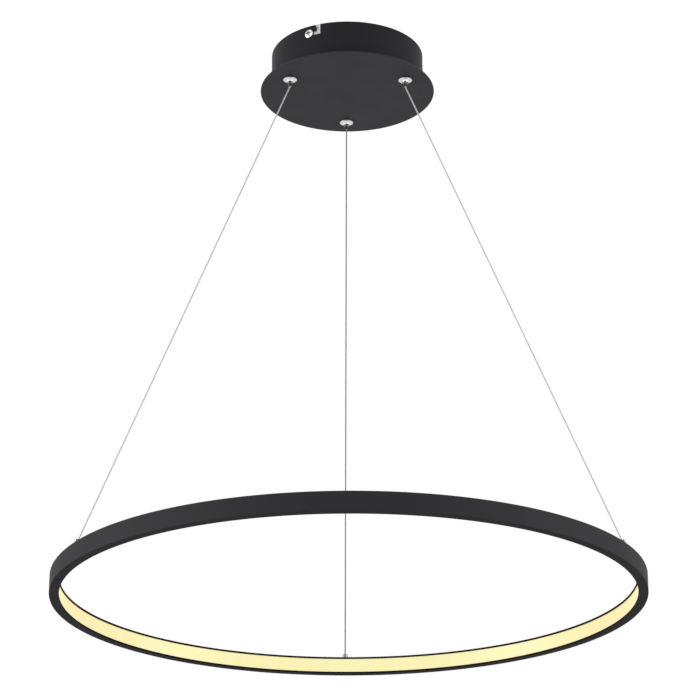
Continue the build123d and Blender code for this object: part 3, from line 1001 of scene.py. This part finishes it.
class RINGLAMP_OT_wire_cups(Operator):
    """Turns the three cups on the ring that hold the wires' lower ends"""

    bl_idname = "ring_lamp.wire_cups"
    bl_label = "Wire Cups"

    def execute(self, context):
        wires, finish = context.scene.ring_lamp_wires, context.scene.ring_lamp_finish
        seat = RING_HIGH.z
        steel = machined("turned_cup_steel", (0.17, 0.17, 0.168), 0.12 * MM, 0.3, 0.16)
        # Painted shade: near-black metal for the cup's rim and its inside
        shade = machined("cup_rim_shade", (0.03, 0.03, 0.03), 0.12 * MM, 0.3, 0.3)
        for side in SIDES:
            low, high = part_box(f"wire_holder_{side}")
            place = middle_at(f"wire_holder_{side}", seat)
            outer = (high.x - low.x) / 2
            bore, inner = wires.radius + CUP_BORE_PLAY, outer - CUP_WALL
            rim, foot = high.z - seat, low.z - seat
            soft = 0.9 * (outer - inner) / 2
            outline = softened([
                (bore, CUP_FLOOR, 0), (inner, CUP_FLOOR, wires.cup_round), (inner, rim, soft),
                (outer, rim, soft), (outer, 0, CUP_FOOT_ROUND), (CUP_STUD_RADIUS, 0, 0),
                (CUP_STUD_RADIUS, foot, 0), (bore, foot, 0),
            ])
            cup = crease(turned(f"wire_cup_{side}", outline, CUP_STEPS, place))
            finish_piece(cup, steel, "ring", "bright_nickel", f"wire_holder_{side}")
            # The rim and the inside of each cup get the painted shade
            recoat(
                cup, shade,
                lambda face: face.center.z > rim - CUP_RIM_SHADE_DEPTH or face.center.xy.length < inner,
            )
        refinish(zinc(finish), *(f"holder_nut_{side}" for side in SIDES))
        return {"FINISHED"}


# ---------------------------------------------------------------- canopy

def slot_outline(canopy):
    """The L-shaped bayonet slot, with x along the drum, y up, and the screw's axis at y = 0."""
    mouth = DRUM_HIGH.x * canopy.twist / 2
    half = canopy.screw_radius + canopy.slot_clearance
    rim = canopy.screw_depth + DRUM_HIGH.z
    above = rim + canopy.drum_wall
    flare = mouth - half - canopy.slot_lead_in
    closed_end = [
        (-mouth - half * sin(step * pi / 12), half * cos(step * pi / 12)) for step in range(13)
    ]
    return [
        *closed_end, (mouth + half, -half), (mouth + half, above), (flare, above),
        (flare, rim), (mouth - half, rim - 2 * canopy.slot_lead_in), (mouth - half, half),
    ]


class RINGLAMP_OT_canopy(Operator):
    """Turns the canopy's drum and disc, and cuts the bayonet slots"""

    bl_idname = "ring_lamp.canopy"
    bl_label = "Canopy"

    def execute(self, context):
        canopy, finish = context.scene.ring_lamp_canopy, context.scene.ring_lamp_finish
        outer, inner = DRUM_HIGH.x, DRUM_HIGH.x - canopy.drum_wall
        wall = softened([
            (inner, DRUM_LOW.z, 0), (outer, DRUM_LOW.z, 0),
            (outer, DRUM_HIGH.z, RIM_ROUND), (inner, DRUM_HIGH.z, RIM_ROUND),
        ])
        drum = turned("canopy_shell", wall, CANOPY_STEPS)
        slots = [
            slab(
                "slot_cutter", slot_outline(canopy), 6 * canopy.drum_wall,
                facing(azimuth + canopy.twist / 2, outer, -canopy.screw_depth),
            )
            for azimuth in SCREW_AZIMUTHS.values()
        ]
        crease(cut_away(drum, slots))
        # The drum's coat is the disc's coat made darker, as painted shade
        coat = powder_coat("drum_coat_and_shade", finish.drum_coat_and_shade, 0.03)
        finish_piece(drum, coat, "canopy", "black_powder_coat_steel", "canopy_drum")

        radius, soft = PLATE_HIGH.x, canopy.edge_round
        rim = softened([
            (0, PLATE_LOW.z, 0), (radius, PLATE_LOW.z, soft),
            (radius, PLATE_HIGH.z, soft), (0, PLATE_HIGH.z, 0),
        ])
        disc = turned("canopy_disc", rim, CANOPY_STEPS)
        below = 2 * PLATE_LOW.z
        hole = [(0, below), (PLATE_HOLE_RADIUS, below), (PLATE_HOLE_RADIUS, 0), (0, 0)]
        holes = [
            turned("hole_cutter", hole, HOLE_STEPS, middle_at(f"gripper_nut_{side}", 0))
            for side in SIDES
        ]
        crease(cut_away(disc, holes))
        coat = powder_coat("disc_coat", finish.disc_coat, 0.12)
        finish_piece(disc, coat, "canopy", "black_powder_coat_steel", "canopy_plate")
        return {"FINISHED"}


class RINGLAMP_OT_canopy_screws(Operator):
    """Turns the two canopy screws with their cross recess"""

    bl_idname = "ring_lamp.canopy_screws"
    bl_label = "Canopy Screws"

    def execute(self, context):
        canopy, finish = context.scene.ring_lamp_canopy, context.scene.ring_lamp_finish
        seat, tip = DRUM_HIGH.x + SCREW_SEAT_GAP, DRUM_HIGH.x - SCREW_REACH
        crown = seat + canopy.head_height
        rise = canopy.head_height - HEAD_SKIRT
        sphere = (rise**2 + canopy.head_radius**2) / (2 * rise)
        half_angle = asin(canopy.head_radius / sphere)
        angles = [half_angle * step / DOME_CUTS for step in range(DOME_CUTS, 0, -1)]
        dome = [(sphere * sin(angle), crown - sphere * (1 - cos(angle))) for angle in angles]
        shank = threaded(canopy.screw_radius, tip, seat, canopy.thread_pitch)
        outline = [
            (0, tip), *shank, (canopy.head_radius - HEAD_CHAMFER, seat),
            (canopy.head_radius, seat + HEAD_CHAMFER), *dome, (0, crown),
        ]
        long, deep = RECESS_REACH, RECESS_DEPTH
        floor = RECESS_TAPER * long
        arm = [(-long, 0), (-floor, -deep), (floor, -deep), (long, 0), (long, deep), (-long, deep)]
        # Painted shade: near-black metal for the faces inside the cross recess
        shade = machined("recess_shade", (0.03, 0.03, 0.03), 0.1 * MM, 0.3, 0.4)
        plated = machined("screw_plate", (0.74, 0.74, 0.73), 0.10 * MM, 0.35, 0.24)
        upright = Matrix.Rotation(pi / 2, 4, "X")

        def in_recess(face):
            x, y, height = face.center
            across = hypot(x, y)
            surface_here = crown - sphere + (sphere**2 - across**2) ** 0.5
            return across < long and seat < height < surface_here - RECESS_FACE_DEPTH

        for place, azimuth in SCREW_AZIMUTHS.items():
            screw = turned(f"cross_screw_{place}", outline, SCREW_STEPS)
            recess = [
                slab(
                    "recess_cutter", arm, 2 * RECESS_HALF_WIDTH,
                    Matrix.Translation((0, 0, crown)) @ Matrix.Rotation(turn, 4, "Z") @ upright,
                )
                for turn in (0, pi / 2)
            ]
            crease(cut_away(screw, recess), radians(26))
            screw.matrix_world = facing(azimuth, 0, -canopy.screw_depth)
            finish_piece(screw, plated, "bracket", "bright_nickel", f"canopy_screw_{place}")
            # The faces inside the cross recess get the painted shade
            recoat(screw, shade, in_recess)
        return {"FINISHED"}


# ---------------------------------------------------------------- grippers

def coil_spring(name, radius, wire, height, turns, place):
    """A coil of round wire that stands on place."""
    curve = bpy.data.curves.new(name, "CURVE")
    curve.dimensions = "3D"
    curve.bevel_depth = wire / 2
    curve.bevel_resolution = 3
    curve.use_fill_caps = True
    spline = curve.splines.new("POLY")
    steps = MARKS_PER_TURN * turns
    spline.points.add(steps)
    for step, point in enumerate(spline.points):
        angle = 2 * pi * step / MARKS_PER_TURN
        rise = wire / 2 + (height - wire) * step / steps
        point.co = (radius * cos(angle), radius * sin(angle), rise, 1)
    holder = bpy.data.objects.new(name, curve)
    mesh = bpy.data.meshes.new_from_object(holder)
    bpy.data.objects.remove(holder)
    bpy.data.curves.remove(curve)
    mesh.name = name
    mesh.shade_smooth()
    spring = bpy.data.objects.new(name, mesh)
    spring.location = place
    bpy.context.scene.collection.objects.link(spring)
    return spring


class RINGLAMP_OT_grippers(Operator):
    """Turns the bodies of the three wire grippers, and finishes their inner pieces"""

    bl_idname = "ring_lamp.grippers"
    bl_label = "Wire Grippers"

    def execute(self, context):
        wires, finish = context.scene.ring_lamp_wires, context.scene.ring_lamp_finish
        bright = nickel(finish)
        # Painted shade on the flange's skirt and on the neck below the dome, and the plungers' own
        # darker steel
        shaded = machined("neck_shade_and_plunger_steel", (0.20, 0.20, 0.20), 0.1 * MM, 0.2, 0.25)
        for side in SIDES:
            low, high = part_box(f"gripper_body_{side}")
            flange = (high.x - low.x) / 2
            foot, top = low.z - PLATE_LOW.z, high.z - PLATE_LOW.z
            skirt = softened([
                (SHANK_RADIUS, 0, 0), (flange, 0, 0.1 * MM), (flange, FLANGE_EDGE, 0),
            ])
            dome = bulged((flange, FLANGE_EDGE), (NECK_RADIUS, DOME_FOOT), DOME_BULGE * flange)
            tip = softened([
                (NECK_RADIUS, DOME_FOOT, 0), (NECK_RADIUS, foot, 0.3 * MM),
                (BODY_BORE_RADIUS, foot, 0.15 * MM), (BODY_BORE_RADIUS, CHAMBER_FOOT, 0),
                (CHAMBER_RADIUS, CHAMBER_FOOT, 0), (CHAMBER_RADIUS, top, 0.2 * MM),
                (SHANK_RADIUS, top, 0.3 * MM),
            ])
            thread = threaded(SHANK_RADIUS, THREAD_FOOT, top - THREAD_RUNOUT, BODY_THREAD_PITCH)
            outline = [*skirt, *dome, *tip, *reversed(thread), (SHANK_RADIUS, COLLAR_TOP)]
            place = middle_at(f"gripper_nut_{side}", PLATE_LOW.z)
            body = crease(turned(f"gripper_sleeve_{side}", outline, GRIPPER_STEPS, place))
            finish_piece(body, bright, "canopy", "bright_nickel", f"gripper_body_{side}")

            # The flange's skirt and the neck get the painted shade
            def skirt_or_neck(face):
                across, height = face.center.xy.length, face.center.z
                on_skirt = FLANGE_EDGE < height < 0 and across > 0.9 * flange
                return on_skirt or (height < DOME_FOOT and across < flange)

            recoat(body, shaded, skirt_or_neck)
        refinish(shaded, *(f"plunger_{side}" for side in SIDES))
        refinish(
            zinc(finish),
            *(f"gripper_{kind}_{side}" for side in SIDES for kind in ("nut", "plug")),
        )
        spring_steel = machined("drawn_spring_wire", (0.42, 0.42, 0.43), 0.2 * MM, 0.4, 0.28)
        for side in SIDES:
            low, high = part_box(f"gripper_spring_{side}")
            seat = middle_at(f"gripper_nut_{side}", low.z)
            height = high.z - low.z
            radius = (high.x - low.x - SPRING_WIRE) / 2
            spring = coil_spring(
                f"gripper_coil_{side}", radius, SPRING_WIRE, height, SPRING_TURNS, seat,
            )
            finish_piece(spring, spring_steel, "canopy", "spring_steel", f"gripper_spring_{side}")
            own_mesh(spring)
        refinish(
            machined("ground_ball", (0.68, 0.69, 0.70), 0.3 * MM, 0.1, 0.08),
            *(f"gripper_balls_{side}" for side in SIDES),
        )
        steel = machined("crimped_wire_end", (0.46, 0.46, 0.46), 0.14 * MM, 0.4, 0.3)
        # The far wire's tail and end get a darker copy of the steel, which is painted shade
        dark = machined("far_wire_end_shade", (0.24, 0.24, 0.24), 0.14 * MM, 0.4, 0.34)
        for side in SIDES:
            refinish(dark if side == "back" else steel, f"wire_tail_{side}", f"wire_end_{side}")
        return {"FINISHED"}


class RINGLAMP_OT_inner_fittings(Operator):
    """Finishes the bracket, the earth screw and the LED driver inside the canopy"""

    bl_idname = "ring_lamp.inner_fittings"
    bl_label = "Inner Fittings"

    def execute(self, context):
        refinish(galvanised(), "mounting_bracket")
        refinish(machined("turned_brass", (0.66, 0.46, 0.16), 0.15 * MM, 0.35, 0.25), "earth_screw")
        refinish(
            moulded("casing_plastic", (0.74, 0.74, 0.71), (0.70, 0.67, 0.58), 0.5 * MM, 0.42),
            "led_driver",
        )
        refinish(
            moulded("cover_plastic", (0.66, 0.66, 0.63), (0.62, 0.59, 0.50), 0.4 * MM, 0.38),
            "driver_cover_input", "driver_cover_output",
        )
        refinish(foam(), "driver_pad")
        return {"FINISHED"}


# ---------------------------------------------------------------- stage

def soft_lamp(name, place, target, size, power):
    """A large square lamp that faces a target."""
    light = bpy.data.lights.new(name, "AREA")
    light.shape, light.size, light.energy = "SQUARE", size, power
    lamp = bpy.data.objects.new(name, light)
    lamp.location = place
    lamp.rotation_euler = (Vector(target) - Vector(place)).to_track_quat("-Z", "Y").to_euler()
    bpy.context.scene.collection.objects.link(lamp)
    return lamp


def pale_floor(stage):
    """A large pale floor with a faint unevenness."""
    bm = bmesh.new()
    bmesh.ops.create_grid(bm, x_segments=8, y_segments=8, size=40.0)
    floor = new_piece(bm, "floor", (0, 0, -stage.floor_depth))
    material, tree, shader = new_material("pale_floor")
    shader.inputs["Specular IOR Level"].default_value = 0.2
    cloud = noise(tree, scaled_place(tree, 0.6), detail=5.0)
    pale = solid(stage.floor_colour)
    darker = solid([0.97 * value for value in stage.floor_colour])
    tree.links.new(blended(tree, cloud, pale, darker), shader.inputs["Base Color"])
    tree.links.new(ramp(tree, cloud, 0.3, 0.7, 0.55, 0.65), shader.inputs["Roughness"])
    floor.data.materials.append(material)
    return floor


def room_light(scene, stage):
    """A world that is white to the eye and in reflections, and softer on matt surfaces."""
    world = bpy.data.worlds.new("room")
    world.use_nodes = True
    tree = world.node_tree
    path = add_node(tree, "ShaderNodeLightPath").outputs
    seen = maths(tree, "MAXIMUM", path["Is Camera Ray"], path["Is Glossy Ray"])
    seen = maths(tree, "MAXIMUM", seen, path["Is Transmission Ray"])
    sky = tree.nodes["Background"]
    sky.inputs["Color"].default_value = (1, 1, 1, 1)
    tree.links.new(ramp(tree, seen, 0, 1, stage.surround, 1.0), sky.inputs["Strength"])
    scene.world = world


class RINGLAMP_OT_stage(Operator):
    """Sets up the camera, the soft lamps, the room and the floor"""

    bl_idname = "ring_lamp.stage"
    bl_label = "Stage"

    def execute(self, context):
        scene = context.scene
        stage = scene.ring_lamp_stage
        data = bpy.data.cameras.new("camera")
        data.sensor_width, data.lens = 36.0, stage.lens
        data.clip_start, data.clip_end = 0.05, 120.0
        camera = bpy.data.objects.new("camera", data)
        scene.collection.objects.link(camera)
        camera.matrix_world = (
            Matrix.Translation(stage.camera_place)
            @ Matrix.Rotation(pi / 2 + stage.camera_rise, 4, "X")
            @ Matrix.Rotation(stage.camera_roll, 4, "Z")
        )
        scene.camera = camera
        scene.view_settings.view_transform = "Standard"

        room_light(scene, stage)
        pale_floor(stage)
        heart = (0, 0, -0.35)
        soft_lamp("left_softbox", (-1.8, -0.35, -0.5), heart, 0.9, stage.side_light)
        soft_lamp("right_softbox", (1.8, -0.35, -0.5), heart, 0.9, 0.8 * stage.side_light)
        soft_lamp("front_softbox", (0, -3.0, -0.3), heart, 1.2, stage.front_light)
        return {"FINISHED"}


class RINGLAMP_PT_sidebar(Panel):
    """Lists the lamp's settings and the steps that build it"""

    bl_label = "Ring Pendant Lamp"
    bl_idname = "RINGLAMP_PT_sidebar"
    bl_space_type = "VIEW_3D"
    bl_region_type = "UI"
    bl_category = "Ring Lamp"

    def draw(self, context):
        layout = self.layout
        for group in SETTINGS:
            settings = getattr(context.scene, group)
            box = layout.box()
            for name in settings.bl_rna.properties.keys():
                if name not in ("rna_type", "name"):
                    box.prop(settings, name)
        column = layout.column(align=True)
        for operator in OPERATORS:
            column.operator(operator.bl_idname)


SETTINGS = {
    "ring_lamp_ring": RingLampRing,
    "ring_lamp_canopy": RingLampCanopy,
    "ring_lamp_wires": RingLampWires,
    "ring_lamp_finish": RingLampFinish,
    "ring_lamp_stage": RingLampStage,
}
OPERATORS = (
    RINGLAMP_OT_stage,
    RINGLAMP_OT_wires,
    RINGLAMP_OT_ring,
    RINGLAMP_OT_wire_cups,
    RINGLAMP_OT_canopy,
    RINGLAMP_OT_canopy_screws,
    RINGLAMP_OT_grippers,
    RINGLAMP_OT_inner_fittings,
)


def register():
    """Registers the classes and hangs the settings on the scene."""
    for cls in (*SETTINGS.values(), *OPERATORS, RINGLAMP_PT_sidebar):
        bpy.utils.register_class(cls)
    for name, group in SETTINGS.items():
        setattr(bpy.types.Scene, name, PointerProperty(type=group))


def unregister():
    """Takes the settings and the classes away again."""
    for name in SETTINGS:
        delattr(bpy.types.Scene, name)
    for cls in reversed((*SETTINGS.values(), *OPERATORS, RINGLAMP_PT_sidebar)):
        bpy.utils.unregister_class(cls)


def main():
    """Builds the whole lamp."""
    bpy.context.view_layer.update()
    register()
    for operator in OPERATORS:
        group, name = operator.bl_idname.split(".")
        getattr(getattr(bpy.ops, group), name)()
    bpy.context.view_layer.update()


if __name__ == "__main__":
    main()
